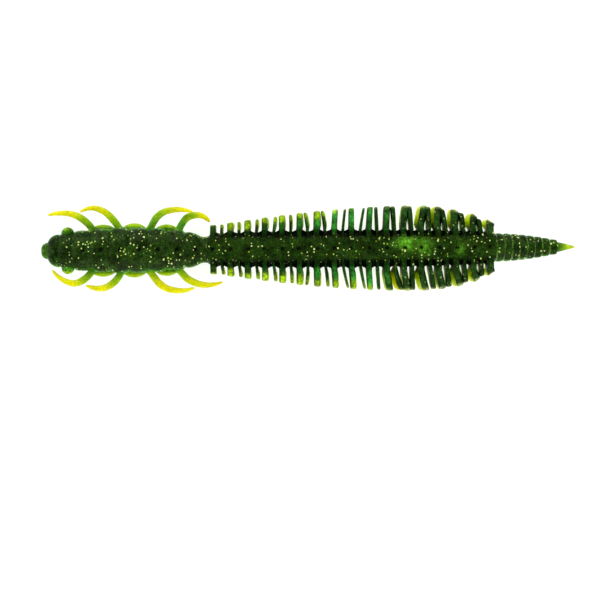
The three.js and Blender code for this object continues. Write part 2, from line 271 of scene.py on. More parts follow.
def plastisol(name, roughness, glow, mottle, gloss):
    """Glossy soft plastisol: the back colour over the belly colour, mottled, with gold flakes in it.

    glow is how much light scatters through it, mottle how uneven its colour is, and gloss how strongly
    it reflects.
    """
    nodes = Nodes(name)
    rest = nodes.attribute("rest", "Vector")
    height = nodes.add("ShaderNodeSeparateXYZ", {0: rest}).outputs[2]

    # The line where the two colours fused wanders up and down the side by a few tenths of a millimetre.
    wander = nodes.ramp(nodes.noise(rest, 0.55), 0.25, 0.75, -0.5, 0.5)
    is_back = nodes.ramp(nodes.maths("ADD", height, wander), -0.3, 0.35)
    patches = nodes.ramp(nodes.noise(rest, 0.5, 3.0), 0.3, 0.7, 1 - mottle, 1 + mottle)
    grain = nodes.ramp(nodes.noise(rest, 2.2), 0.3, 0.7, 1 - mottle, 1 + mottle)
    shade = nodes.maths("MULTIPLY", patches, grain)
    back = nodes.mix(1.0, nodes.attribute("back", "Color"), shade, "MULTIPLY")
    browning = nodes.ramp(nodes.noise(rest, 0.9, 2.0), 0.5, 0.75, 0.0, 0.2)
    back = nodes.mix(nodes.maths("MULTIPLY", browning, nodes.attribute("flakes", "Fac")), back, BROWN)
    body = nodes.mix(is_back, nodes.attribute("belly", "Color"), back)

    # Each cell holds one flake or none. It takes its size and its gold from the cell's own chances.
    cells = nodes.add("ShaderNodeTexVoronoi", {"Vector": rest, "Scale": 1.65}, distance="EUCLIDEAN")
    chance = nodes.add("ShaderNodeSeparateColor", {0: cells.outputs["Color"]})
    crowding = nodes.ramp(nodes.noise(rest, 0.4, 1.0), 0.35, 0.7, 0.15, 0.8)
    here = nodes.maths("LESS_THAN", chance.outputs[0], crowding)
    size = nodes.ramp(chance.outputs[2], 0.3, 1.0, 0.8, 1.25)
    spot = nodes.ramp(nodes.maths("DIVIDE", cells.outputs["Distance"], size), 0.2, 0.3, 1.0, 0.0)
    wanted = nodes.attribute("flakes", "Fac")
    flake = nodes.maths("MULTIPLY", nodes.maths("MULTIPLY", here, spot), wanted)
    depth = nodes.maths("POWER", chance.outputs[1], 1.4)
    gold = nodes.mix(depth, SUNK_GOLD, BRIGHT_GOLD)
    nodes.tree.links.new(nodes.mix(flake, body, gold), nodes.shader.inputs["Base Color"])

    # The mould's surface is a little wavy, with a fine tooth.
    waves = nodes.maths("MULTIPLY", nodes.noise(rest, 1.1, 2.0), 0.7)
    tooth = nodes.maths("MULTIPLY", nodes.noise(rest, 9.0, 1.0), 0.06)
    bump_inputs = {"Height": nodes.maths("ADD", waves, tooth), "Strength": 0.35, "Distance": 0.0002}
    bump = nodes.add("ShaderNodeBump", bump_inputs)
    nodes.tree.links.new(bump.outputs["Normal"], nodes.shader.inputs["Normal"])
    uneven = nodes.ramp(nodes.noise(rest, 1.7), 0.2, 0.8, roughness - 0.06, roughness + 0.08)
    nodes.tree.links.new(uneven, nodes.shader.inputs["Roughness"])
    nodes.shader.inputs["IOR"].default_value = 1.45
    nodes.shader.inputs["Specular IOR Level"].default_value = gloss
    nodes.shader.inputs["Specular Tint"].default_value = (0.9, 1.0, 0.6, 1)
    clear = nodes.maths("MULTIPLY_ADD", flake, -glow, glow)
    nodes.tree.links.new(clear, nodes.shader.inputs["Subsurface Weight"])
    nodes.shader.inputs["Subsurface Radius"].default_value = (0.9, 1.0, 0.2)
    nodes.shader.inputs["Subsurface Scale"].default_value = 0.0015
    return nodes.material


BODY = plastisol("body_plastisol", 0.32, 0.08, 0.55, 0.1)
RIB = plastisol("rib_plastisol", 0.42, 0.38, 0.48, 0.04)
LEG = plastisol("leg_plastisol", 0.3, 0.4, 0.12, 0.25)
TIP = plastisol("tip_plastisol", 0.3, 0.3, 0.15, 0.25)


# ---- The body's shape, from the frame ------------------------------------------------------------


def station(metres):
    """Where a place in the frame is along the body, from the nose, in millimetres."""
    return (metres - NOSE_X) / MM


def joint_station(name):
    return station(JOINTS[name]["pos_m"][0])


def node_span(node):
    """(first station, last station, half width) of a CAD node."""
    low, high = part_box(node)
    return station(low.x), station(high.x), (high.y - low.y) / 2 / MM


RING_SPANS = [node_span(f"rib_ring_{ring:02d}") for ring in range(1, RIB_RINGS + 1)]
RING_STATIONS = np.array([(first + last) / 2 for first, last, _ in RING_SPANS])
RING_REACHES = np.array([reach for _, _, reach in RING_SPANS])
RING_HALF = (RING_SPANS[0][1] - RING_SPANS[0][0]) / 2
PITCH = RING_STATIONS[1] - RING_STATIONS[0]


def rib_reach(place):
    """How far the ribs reach from the middle plane. Past the last ring it falls away, but less steeply."""
    past = np.maximum(np.asarray(place) - RING_STATIONS[-1], 0)
    slope = 0.6 * (RING_REACHES[-1] - RING_REACHES[-2]) / PITCH
    return np.interp(place, RING_STATIONS, RING_REACHES) + slope * past


def core_width(place):
    """Half the width of the abdomen's core, which narrows to the neck's and the tail's at its ends."""
    from_first = np.asarray(place) - RING_STATIONS[0]
    share = np.clip(from_first / (RING_STATIONS[-1] - RING_STATIONS[0]), 0, 1)
    width = 2.95 + 0.75 * np.sin(math.pi * (0.12 + 0.8 * share)) ** 0.8
    to_neck = 0.55 * (1 - rise(place, RING_SPANS[0][0], RING_STATIONS[0] + 0.6))
    to_tail = 0.3 * rise(place, RING_STATIONS[-1], RING_SPANS[-1][1])
    return width - to_neck - to_tail


# How far each rib's outer end leans towards the tail, in tenths of a millimetre, from the head to the
# tail. The ribs of a real moulding are bent every way, and its thin ribs stick to one thick neighbour or
# the other.
THICK_LEANS = {
    RIGHT: [0, 0, 0, 0, 0, 1, 1, 3, 1, 4, 3, 4, 7, 1, 0, 4, 3],
    LEFT: [0, 0, 0, 0, 0, 0, 1, 3, 4, 3, 7, 8, 9, 9, 10, 9, 4],
}
THIN_LEANS = {
    RIGHT: [0, 0, 2, 4, 0, -5, -5, 5, 8, -2, -3, -5, -2, -9, -5, -5],
    LEFT: [3, 3, 3, 4, 2, -3, 5, 10, 9, 3, 12, 1, 9, 5, 4, 2],
}
# How far each rib's lower edge stands headward of its middle, in tenths of a millimetre.
THICK_ROLLS = {
    RIGHT: [-2, -2, -2, -2, -2, -2, -2, 0, 0, 0, 0, 2, 6, 7, 6, 8, 7],
    LEFT: [-2, -2, -2, -2, -2, -2, -2, -2, -2, 0, 2, 2, 6, 3, 6, 6, 5],
}
THIN_ROLLS = {
    RIGHT: [-2, -2, -2, -2, -2, -3, -3, 0, 0, 0, 0, 0, 0, 0, 0, 0],
    LEFT: [-2, -2, -2, -2, -2, -2, -2, 0, 0, 0, 7, 0, 0, 0, 0, 0],
}
DRAFT = 0.15  # share of their thickness that the ribs lose from their parting line to their edges
BAND = 2.05  # half the width of the smooth band along the back
BAND_FALL = 0.34  # how far the band curves down from its middle to its edge
BELLY_BAND = 2.3
FLANK = 2.2  # where the ribs leave the band along the back
GROOVE_DEPTH = 0.26  # of the grooves between the abdomen's rings
# Points in each stretch of an outline: back band, flank, upper tip, lower tip, flank, belly band.
SECTION_COUNTS = (9, 12, 8, 8, 12, 7)


def core_section(place, swell):
    """One side of the core's outline at a station, pushed out or in by swell.

    It has a band along the back, and flanks that fall away steeply from the band's edge.
    """
    width = core_width(place) + swell
    top = 2.82 + 0.12 * (width - 3.4) + 0.4 * swell
    edge = np.array([BAND, top - BAND_FALL])
    belly_edge = np.array([BELLY_BAND, FLOOR + 0.02 - 0.5 * min(swell, 0)])
    y = np.linspace(0, BAND, SECTION_COUNTS[0], endpoint=False)
    band = np.stack([y, top - BAND_FALL * (y / BAND) ** 2.6], axis=1)
    side = np.array([width, -0.15])
    upper = quadratic(edge, [BAND + 0.3, 0.55], side - [0.15, -0.35], SECTION_COUNTS[1])
    rim = quadratic(side - [0.15, -0.35], side + [0.02, 0.1], side, SECTION_COUNTS[2])
    under = quadratic(side, side + [0.0, -0.35], side + [-0.12, -0.6], SECTION_COUNTS[3])
    lower = quadratic(side + [-0.12, -0.6], [width - 0.5, -2.3], belly_edge, SECTION_COUNTS[4])
    y = np.linspace(BELLY_BAND, 0, SECTION_COUNTS[5], endpoint=False)
    belly = np.stack([y, np.full(len(y), belly_edge[1])], axis=1)
    return np.concatenate([band, upper, rim, under, lower, belly])


def rib_section(place, swell, reach, tip):
    """One side of a pair of ribs' outline, and of the core's, matched point by point.

    tip is half the height of the outer end.
    """
    core = core_section(place, swell)
    edges = np.cumsum(SECTION_COUNTS)
    top = core[edges[0]]
    bottom = core[edges[4]]
    shoulder = np.array([reach - 0.22, tip])
    foot = np.array([reach - 0.16, -1.2 * tip])
    nose = np.array([reach, 0.0])
    ridge = 0.12  # how far a rib stands above the band's edge
    lift = ridge * (core[: edges[0], :1] / BAND) ** 2
    band = core[: edges[0]] + lift * np.array([0, 1.0])
    high = quadratic(top + [0, ridge], [0.74 * reach, top[1] + 0.2], shoulder, SECTION_COUNTS[1])
    upper = quadratic(shoulder, [reach + 0.02, tip * 0.85], nose, SECTION_COUNTS[2])
    lower = quadratic(nose, [reach + 0.02, -tip], foot, SECTION_COUNTS[3])
    low = quadratic(foot, [0.76 * reach, bottom[1] - 0.05], bottom, SECTION_COUNTS[4])
    return np.concatenate([band, high, upper, lower, low, core[edges[4]:]]), core


def both_sides(half):
    """A half outline, from the back round the +Y side to just before the belly's middle, made whole."""
    belly = np.array([[0.0, half[-1][1]]])
    other = half[1:][::-1] * [-1, 1]
    return np.concatenate([half, belly, other])


# ---- Ribbed rings and webs -----------------------------------------------------------------------

FLARE_START = 3.6  # how far out the ribs towards the tail start to broaden
ROLL_START, ROLL_END = 3.2, 4.7  # how far out a rib's roll starts, and is full
RIB_HALF_HEIGHT = 1.3


def rib_rows(place, half_length, half_thick, reach_at, swell_at, flare, tip, barrel_rows):
    """Rows of a barrel with a pair of ribs round its middle, with each point's share of the way out.

    The barrel's own rows, some at each end, lie outside the ribs' thickness. The ribs' rows climb its
    side, go round the rim and come back. flare is the share of their thickness that the ribs gain towards
    their ends, and tip half the height of those ends.
    """
    # Share of the way out to the rim, and share of the half thickness there.
    fillet = [(0.0, 1.22), (0.04, 1.08), (0.14, 1.01)]
    face = [(0.32, 1.0), (0.5, 1.0), (0.68, 0.99), (0.84, 0.97)]
    rim = [(0.94, 0.93), (0.975, 0.8), (0.993, 0.55), (1.0, 0.2)]
    barrel = np.linspace(-half_length, -1.45 * half_thick, barrel_rows)
    steps = [(offset, 0.0) for offset in barrel]
    steps += [(-thick * half_thick, share) for share, thick in fillet + face + rim]
    steps += [(-offset, share) for offset, share in reversed(steps)]
    rows, shares = [], []
    for offset, share in steps:
        here = place + offset
        half, core = rib_section(here, swell_at(offset), reach_at(here), tip)
        section = both_sides(core * (1 - share) + half * share)
        draft = DRAFT * min(4 * share, 1) * np.clip(np.abs(section[:, 1:]) / tip, 0, 1)
        broad = 1 + flare * rise(np.abs(section[:, :1]), FLARE_START, reach_at(place) - 0.6)
        rows.append(np.concatenate([place + offset * (1 - draft) * broad, section], axis=1))
        shares.append(np.full(len(section), share))
    return np.array(rows), np.array(shares)


def shift_ribs(rows, sweep, tilt, droop):
    """Leans the ribs, by a sweep, a tilt and a droop for each side.

    sweep moves their outer ends along the body. tilt moves their lower halves, which stand less upright
    than their upper halves. droop bends their ends up or down.
    """
    moved = rows.copy()
    y, z = rows[..., 1], rows[..., 2]
    root = 2.4
    lean = np.maximum(np.where(z > 0, -0.35 * z, z) / RIB_HALF_HEIGHT, -1.3)
    for side in SIDES:
        here = side * y > 0
        reach = np.max(np.abs(y))
        out = np.clip((np.abs(y) - root) / (reach - root), 0, 1)
        moved[..., 0] += here * sweep[side] * out**1.25
        moved[..., 0] += here * tilt[side] * rise(np.abs(y), ROLL_START, ROLL_END) * lean
        moved[..., 2] += here * droop[side] * out**2
    return moved


def dimple(rows, place, depth=0.3, radius=0.4):
    """Presses a small pit into the middle of the back at a station, and returns where it is, 0 to 1."""
    from_middle = np.hypot(rows[..., 0] - place, rows[..., 1])
    rows[..., 2] -= depth * hump(from_middle, 0, radius) * (rows[..., 2] > 0)
    return (1 - rise(from_middle, 0.7 * radius, 1.3 * radius)) * (rows[..., 2] > 0)


# The pale patches on the back: strength, station, length, distance to the right, width.
PALE_PATCHES = ((0.8, 68.2, 1.9, 0.9, 1.5), (0.7, 71.5, 1.2, 0.0, 1.5), (0.5, 78.1, 0.8, -0.1, 1.2))


def pale_patches(rows):
    """Where the back's colour is thin, over the rear of the abdomen, and the belly's shines through."""
    x, y = rows[..., 0], rows[..., 1]
    total = 0
    for strength, along, length, across, width in PALE_PATCHES:
        total = total + strength * (hump(x, along, length) * hump(y, across, width))
    return np.clip(total, 0, 1)


# The inner edge of the window in the belly's colour: station, distance to the right.
BLEED_EDGE = ((48, 1.9), (54, 0.9), (60, -0.7), (68, -1.1), (78, 0.6))


def bleed(rows):
    """The window in the belly's colour, on one side of the abdomen, where the back's colour shows."""
    x, y = rows[..., 0], rows[..., 1]
    edge = np.interp(x, *zip(*BLEED_EDGE))
    return rise(x, 47, 58) * (1 - rise(x, 68, 78)) * rise(y, edge - 0.3, edge + 0.3)


YELLOW_RIB = RING_STATIONS[10] + PITCH / 2  # a thin rib on the left, yellow on its belly side
# How far lime runs in from the ends of the thick ribs, from 0 to 1, from the head to the tail.
LIME_TIPS = {
    RIGHT: [0.1, 1.0, 1.0, 0.5, 0.6, 0.35, 0.6, 0.2, 0.1],
    LEFT: [0.15, 0.9, 0.45, 0.7, 0.65, 0.75, 0.4, 0.5, 0.5, 0.2],
}


def lime_tip(side, ring):
    """How far lime runs in on any rib. A thin rib, numbered at a half, takes after its neighbours."""
    tips = [*LIME_TIPS[side], 0.0]
    return float(np.interp(ring, np.arange(1, len(tips) + 1), tips))


def back_of_ribs(rows, shares, ring, backlit_glow):
    """The back colour over a ring: olive on the band, painted shade at the roots, and a painted glow of
    backlight out along the ribs.
    """
    x, y = rows[..., 0], rows[..., 1]
    right = y > 0
    out = np.clip((np.abs(y) - FLANK) / (rib_reach(x) - FLANK), 0, 1)
    # Painted glow: the ribs are painted bright green where backlight shines through them, and darker at their
    # roots, where none comes through.
    middle = blend_colour(BOTTLE, BACKLIT_GREEN, np.where(right, backlit_glow[RIGHT], backlit_glow[LEFT]))
    rib = blend_colour(BOTTLE * 0.6, middle, rise(out, 0.1, 0.5))
    reach_in = np.where(right, lime_tip(RIGHT, ring), lime_tip(LEFT, ring))
    lime = rise(out, 0.86 - 0.5 * reach_in, 1.06 - 0.42 * reach_in) * rise(reach_in, 0, 0.25)
    rib = blend_colour(rib, LIME, lime)
    rear = float(rise(ring, 9.5, 12.5))
    rib = blend_colour(rib, REAR_RIB, 0.9 * rear * rise(out, 0.1, 0.4))
    # The ribs' broad faces are painted darker, for the shade they cast on each other, and their rims get a
    # painted pale highlight.
    rib = rib * (0.4 + 0.6 * rise(shares, 0.95, 0.997))[..., None]
    rim = rise(shares, 0.93, 0.99) * rise(out, 0.88, 0.98)
    rib = blend_colour(rib, PALE_EDGE, rim * (0.25 + 0.25 * rear))
    band = blend_colour(OLIVE, GRASS, 0.9 * pale_patches(rows))
    # The walls between the ribs are painted nearly black, as painted shade, but for the front of the first
    # ring.
    root = (1 - rise(shares, 0.03, 0.16)) * rise(np.abs(y), 1.95, 2.2) * rise(x, 31.7, 32.4)
    wall = blend_colour(rib, RECESS_SHADE, root)
    return blend_colour(wall, band, 1 - rise(np.abs(y), 1.9, 2.25))


def belly_of_ribs(rows, shares):
    """The belly colour over a ring: chartreuse on the band, painted shade at the roots and in the grooves,
    lemon on the ribs.
    """
    x, y = rows[..., 0], rows[..., 1]
    out = np.clip((np.abs(y) - BELLY_BAND) / (rib_reach(x) - BELLY_BAND), 0, 1)
    rib = blend_colour(CHARTREUSE, LEMON, rise(out, 0.1, 0.6))
    rib = blend_colour(rib, PALE_LEMON, 0.6 * rise(shares, 0.6, 0.9) * rise(x, 62, 72))
    rib = blend_colour(rib, YELLOW_LEG, hump(x, YELLOW_RIB, 0.8) * (y < 0))
    # Painted shade darkens the ribs' roots, between the ribs.
    root = (1 - rise(shares, 0.05, 0.35)) * rise(np.abs(y), 2.2, 3.0)
    wall = blend_colour(rib, RECESS_SHADE * 1.6, root)
    # The band is part moss all over, and painted shade makes it greener towards its edges and in the grooves
    # between the rings.
    from_groove = np.abs((x - RING_STATIONS[0]) % PITCH - PITCH / 2)
    green = 0.35 + 0.35 * rise(np.abs(y), 1.2, 2.4) + 0.4 * hump(from_groove, 0, 0.45)
    band = blend_colour(CHARTREUSE, MOSS * 0.8, green)
    band = blend_colour(band, OLIVE * 2.2, 0.8 * bleed(rows))
    return blend_colour(wall, band, 1 - rise(np.abs(y), 2.1, 2.6))


def rib_flakes(rows):
    """Flakes lie mostly in the band, with some out on the ribs towards the tail."""
    fewer = 1.05 - 0.5 * rise(rows[..., 0], 58, 72)
    return np.clip(1 - fewer * rise(np.abs(rows[..., 1]), 2.2, 3.0), 0, 1)


def ring_piece(ring):
    """One ring of the abdomen: its barrel and its pair of thick ribs, thicker towards the tail."""
    place = RING_STATIONS[ring - 1]
    rear = float(rise(ring, 9, 13))
    half_thick = 0.7  # of the last ring's ribs, the thickest
    if ring < RIB_RINGS:
        half_thick = (0.58 + 0.06 * rear) * rng.uniform(0.95, 1.06)
    steepness = 1 + float(rise(ring, 11, 15))  # of the slant across the ribs' ends

    def reach_at(here):
        return rib_reach(place) + steepness * (rib_reach(here) - rib_reach(place))

    def swell(offset):
        return -GROOVE_DEPTH * (abs(offset) / RING_HALF) ** 2.2

    rows, shares = rib_rows(place, RING_HALF, half_thick, reach_at, swell,
                            flare=0.15 * rear, tip=1.25, barrel_rows=5)
    pit = dimple(rows, place + rng.uniform(-0.25, 0.25))
    rolls = {side: rng.uniform(-0.1, 0.1) for side in SIDES}
    tilt = {side: TENTH * THICK_ROLLS[side][ring - 1] + rolls[side] for side in SIDES}
    sweep = {side: TENTH * THICK_LEANS[side][ring - 1] + 0.3 * tilt[side] for side in SIDES}
    droop = {side: rng.uniform(-0.25, 0.15) for side in SIDES}
    # Painted glow of backlight through the ribs, strongest half way along and uneven from rib to rib.
    mid_body = hump(ring, 8.8, 3.2)  # the ribs half way along are the brightest
    backlit_glow = {side: np.clip(mid_body + rng.uniform(-0.2, 0.1), 0, 1) for side in SIDES}
    # The pit in the back is painted nearly black, as painted shade.
    back = blend_colour(back_of_ribs(rows, shares, ring, backlit_glow), RECESS_SHADE * 0.2, 0.95 * pit)
    belly = belly_of_ribs(rows, shares)
    flakes = rib_flakes(rows)
    rows = shift_ribs(rows, sweep, tilt, droop)
    name = f"ring_{ring:02d}_skin"
    piece = skin(name, rows, back, belly, flakes, RIB)
    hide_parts(f"rib_ring_{ring:02d}")
    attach(piece, f"abdomen_{ring:02d}")


def web_piece(web):
    """The wall of a groove and its pair of thin ribs, which bend between the rings on both sides."""
    joint = JOINTS[f"groove_{web:02d}_bend"]
    place = joint_station(joint["name"])
    gap = PITCH / 2 - RING_HALF
    tuck = 0.12  # how far the wall runs in under each ring

    def reach_at(here):
        return rib_reach(here) - 0.12

    def swell(offset):
        under_ring = 0.05 if abs(offset) > gap else 0
        return -GROOVE_DEPTH - 0.1 * (1 - (abs(offset) / gap) ** 2) - under_ring

    rear = float(rise(web, 9, 12))
    half_thick = 0.27 + 0.12 * rear
    rows, shares = rib_rows(place, gap + tuck, half_thick, reach_at, swell,
                            flare=0.5 * rear, tip=1.15, barrel_rows=4)
    tilt = {side: TENTH * THIN_ROLLS[side][web - 1] for side in SIDES}
    sweep = {side: TENTH * THIN_LEANS[side][web - 1] + 0.3 * tilt[side] for side in SIDES}
    droop = {side: rng.uniform(-0.3, 0.3) for side in SIDES}
    # Painted glow of backlight through the thin ribs, random on each side.
    backlit_glow = {side: rng.uniform(0.0, 0.5) for side in SIDES}
    back = back_of_ribs(rows, shares, web + 0.5, backlit_glow)
    shade = 1 - 0.35 * rise(np.abs(rows[..., 1]), 1.9, 2.3)
    back = back * shade[..., None]
    belly = belly_of_ribs(rows, shares)
    flakes = rib_flakes(rows)
    rows = shift_ribs(rows, sweep, tilt, droop)
    piece = skin(f"web_{web:02d}_skin", rows, back, belly, flakes, RIB)
    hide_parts(f"rib_web_{web:02d}")
    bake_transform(piece)


for ring_number in range(1, RIB_RINGS + 1):
    ring_piece(ring_number)
for web_number in range(1, RIB_RINGS):
    web_piece(web_number)


# ---- Head, thorax, neck and tail -----------------------------------------------------------------


def turned_rows(profile, count, around, power=2.25):
    """Rows of a roughly round form, flat where it meets the belly plane.

    The profile's knots are (station, half width, top, bottom).
    """
    rows = []
    for place, width, top, bottom in spline(profile, count):
        section = oval(width, top, bottom, power, around)
        section[:, 1] = np.maximum(section[:, 1], FLOOR)
        rows.append(np.concatenate([np.full((around, 1), place), section], axis=1))
    return np.array(rows)


def body_colours(rows):
    """Dark olive on top, greener down the side where the back's colour thins over the belly's."""
    z = rows[..., 2]
    high = np.max(z)
    back = blend_colour(BOTTLE, OLIVE, rise(z / high, 0.2, 0.75))
    back = blend_colour(back, MOSS * 0.85, 1 - rise(z / high, 0.1, 0.6))
    belly = blend_colour(CHARTREUSE, MOSS, rise(z / high, -0.75, -0.1))
    return back, belly


def head_piece():
    """The blunt head: a small mouth, a round brow, and a collar behind a fine groove."""
    profile = [
        (0.0, 0.55, 0.5, 0.5), (0.08, 0.9, 0.8, 0.8), (0.35, 1.26, 1.12, 1.1), (0.8, 1.5, 1.36, 1.3),
        (1.2, 1.62, 1.5, 1.45), (1.38, 2.0, 1.75, 1.75), (1.75, 2.5, 2.15, 2.2), (2.3, 2.88, 2.42, 2.5),
        (2.9, 3.06, 2.56, 2.7), (3.3, 3.06, 2.58, 2.75), (3.46, 2.94, 2.48, 2.68), (3.62, 3.08, 2.6, 2.8),
        (4.2, 3.3, 2.76, 2.95), (5.0, 3.42, 2.86, 3.05), (5.7, 3.34, 2.8, 3.0), (6.02, 3.12, 2.62, 2.85),
        (6.2, 2.8, 2.4, 2.6),
    ]
    rows = turned_rows(profile, 76, 96)
    back, belly = body_colours(rows)
    mouth = 1 - rise(rows[..., 0], 0.9, 1.5)
    back = blend_colour(back, STEM_GREEN * 0.8, 0.8 * mouth)
    belly = blend_colour(belly, LIME, 0.8 * mouth)
    flakes = 0.7 * rise(rows[..., 0], 1.2, 3)
    piece = skin("head_skin", rows, back, belly, flakes, BODY)
    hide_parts("head")
    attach(piece, "front")


def eye_piece(side, label):
    """A bulging eye: a bead that stands half out of the side of the head."""
    low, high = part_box(f"eye_{label}")
    middle_x = station((low.x + high.x) / 2) + 0.25
    middle_y, middle_z = 3.2, 0.35
    radius = (high.x - low.x) / 2 / MM
    around = np.linspace(0, 2 * math.pi, 40, endpoint=False)
    rows = []
    for turn in np.linspace(0.0, math.pi * 0.97, 22):
        size = radius * max(math.sin(turn), 0.02)
        y = side * (middle_y + radius * 0.98 * math.cos(turn))
        x = middle_x + size * np.sin(around) * side
        z = middle_z + size * np.cos(around)
        rows.append(np.stack([x, np.full(len(around), y), z], axis=1))
    rows = np.array(rows)
    # Painted highlight: the eye turns lime towards its outer side.
    away = (rows[..., 1] * side - middle_y) / radius
    back = blend_colour(blend_colour(BOTTLE, MOSS, 0.5), LIME, rise(away, 0.3, 0.85))
    belly = paint_like(rows, CHARTREUSE * 0.8)
    flakes = np.full(rows.shape[:2], 0.3)
    piece = skin(f"eye_{label}_skin", rows, back, belly, flakes, BODY)
    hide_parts(f"eye_{label}")
    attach(piece, "front")


THORAX_RINGS = 7
THORAX_START = 6.0
THORAX_PITCH = 3.5
THORAX_GROOVE = 0.36  # how far the grooves lie in from the rings' widest
HEAD_WIDTH = 3.45  # half the head's width at its rear
NECK_WIDTH = 2.48


def thorax_crests():
    """Half the width of each thorax ring at its widest.

    A ring with lobes takes after its neighbours, because its CAD node is as wide as its lobes.
    """
    crests = [node_span(f"thorax_ring_{number}")[2] for number in range(1, THORAX_RINGS + 1)]
    for lobed in (1, 3, 5):
        crests[lobed] = (crests[lobed - 1] + crests[lobed + 1]) / 2 + 0.06
    bulge = 0.2
    return [crest + bulge * math.sin(math.pi * (ring + 0.5) / THORAX_RINGS)
            for ring, crest in enumerate(crests)]


THORAX_CRESTS = thorax_crests()


def thorax_piece(ring):
    """One barrel of the thorax. Its ends tuck under its neighbours' at the bottom of the groove."""
    first = THORAX_START + THORAX_PITCH * (ring - 1)
    last = first + THORAX_PITCH if ring < THORAX_RINGS else node_span(f"thorax_ring_{ring}")[1]
    length = last - first
    crest = THORAX_CRESTS[ring - 1]
    before = THORAX_CRESTS[ring - 2] if ring > 1 else HEAD_WIDTH
    front = (before + crest) / 2 - THORAX_GROOVE
    if ring < THORAX_RINGS:
        rear = (crest + THORAX_CRESTS[ring]) / 2 - THORAX_GROOVE
        knots = [(0.07, front + 0.2), (0.2, crest - 0.08), (0.45, crest), (0.7, crest - 0.03)]
        knots += [(0.88, 0.4 * rear + 0.6 * crest), (0.96, rear + 0.1)]
    else:
        rear = NECK_WIDTH
        knots = [(0.07, front + 0.1), (0.25, crest), (0.5, crest - 0.18), (0.75, crest - 0.5)]
        knots += [(0.92, rear + 0.08)]
    knots = [(-0.04, front - 0.25), (0.0, front), *knots, (1.0, rear), (1.04, rear - 0.25)]
    profile = []
    for share, width in knots:
        profile.append((first + share * length, width, 0.83 * width, 0.86 * width))
    rows = turned_rows(profile, 44, 108)
    pit = dimple(rows, (first + last) / 2 + 0.35, depth=0.28, radius=0.48)
    back, belly = body_colours(rows)
    # The pit in the back is painted nearly black, as painted shade.
    back = blend_colour(back, RECESS_SHADE * 0.2, 0.95 * pit)
    # Painted shade: the belly is darker green in the grooves at the ring's ends.
    share = (rows[..., 0] - first) / length
    groove = np.clip(hump(share, 0, 0.1) + hump(share, 1, 0.1), 0, 1)
    belly = blend_colour(belly, MOSS * 0.8, 0.5 * groove)
    flakes = np.ones(rows.shape[:2])
    piece = skin(f"thorax_{ring}_skin", rows, back, belly, flakes, BODY)
    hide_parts(f"thorax_ring_{ring}")
    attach(piece, "front")


head_piece()
eye_piece(RIGHT, "right")
eye_piece(LEFT, "left")
for ring_number in range(1, THORAX_RINGS + 1):
    thorax_piece(ring_number)


# The lobes along each side of the thorax: first station, last station, distance out.
LOBES = ((8.6, 14.3, 4.9), (14.6, 20.1, 5.1), (20.9, 25.9, 4.85))
LOBE_ROOT = 2.7  # inside the thorax
LOBE_ENDS = 3.3  # how far out a lobe reaches at its two ends
LOBE_HALF_THICK = 0.42
LOBE_DROP = 0.3  # below the centre line


def lobe_piece(label, side, first, last, reach):
    """A thin scalloped flange along the side of the thorax, between two legs."""
    around = 48
    rows = []
    for share in np.linspace(-1, 1, 34):
        place = (first + last) / 2 + share * (last - first) / 2
        outer = LOBE_ENDS + (reach - LOBE_ENDS) * max(1 - share**2, 0) ** 0.62
        section = oval((outer - LOBE_ROOT) / 2, LOBE_HALF_THICK, LOBE_HALF_THICK, 2.2, around)
        x = np.full((around, 1), place)
        y = side * ((outer + LOBE_ROOT) / 2 + section[:, :1])
        rows.append(np.concatenate([x, y, section[:, 1:] - LOBE_DROP], axis=1))
    rows = np.array(rows)
    if side == LEFT:
        rows = rows[::-1]
    out = rise(np.abs(rows[..., 1]), 3.9, reach - 0.35)
    edge_colour = LIME * 0.8 if side == RIGHT else blend_colour(LIME, YELLOW_LEG, 0.4)
    back = blend_colour(MOSS * 0.4, edge_colour, out)
    belly = blend_colour(MOSS * 0.7, CHARTREUSE, out)
    flakes = np.full(rows.shape[:2], 0.12)
    piece = skin(label, rows, back, belly, flakes, LEG)
    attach(piece, "front")


for number, lobe in enumerate(LOBES, start=1):
    lobe_piece(f"lobe_right_{number}", RIGHT, *lobe)
    lobe_piece(f"lobe_left_{number}", LEFT, *lobe)


def neck_piece():
    """The waist behind the thorax. Its ends run in under the thorax and the first ring of the abdomen."""
    first = station(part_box("thorax_ring_7")[1].x)
    last = RING_SPANS[0][0]
    width = NECK_WIDTH
    knots = [(first - 0.25, width - 0.1), (first, width), ((first + last) / 2, width - 0.04)]
    knots += [(last, width), (last + 0.3, width - 0.05)]
    profile = [(place, half, 0.9 * half, half) for place, half in knots]
    rows = turned_rows(profile, 18, 96)
    back, belly = body_colours(rows)
    flakes = np.ones(rows.shape[:2])
    piece = skin("neck_skin", rows, back, belly, flakes, BODY)
    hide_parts("neck")
    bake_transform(piece)


neck_piece()


# ---- Tail ----------------------------------------------------------------------------------------

TAIL_LINKS = 4
TAIL_START = station(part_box("tail_link_1")[0].x) - 0.3
TAIL_POINT = station(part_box("tail_tip")[0].x) - 0.25
TAIL_BULGE = 0.16  # how far each ring's middle stands tailward of its sides
TAIL_RING = (TAIL_POINT - TAIL_START) / (2 * TAIL_LINKS)
LENGTH = (cad_bounds[1].x - cad_bounds[0].x) / MM


def tail_width(place):
    """Half the tail's width at a station."""
    share = np.clip((place - TAIL_START) / (TAIL_POINT - TAIL_START), 0, 1)
    return 2.68 - 1.4 * share**1.8


def tail_colours(rows):
    """The body's colours, which turn to lime and yellow in the tip."""
    back, belly = body_colours(rows)
    past = rows[..., 0] - TAIL_POINT
    back = blend_colour(back, STEM_GREEN, rise(past, -0.8, 0.3))
    back = blend_colour(back, LIME, rise(past, 0.3, 2.2))
    back = blend_colour(back, TAIL_YELLOW, rise(past, 1.5, 3.0))
    belly = blend_colour(belly, LIME, rise(past, -0.4, 1.8))
    return back, belly


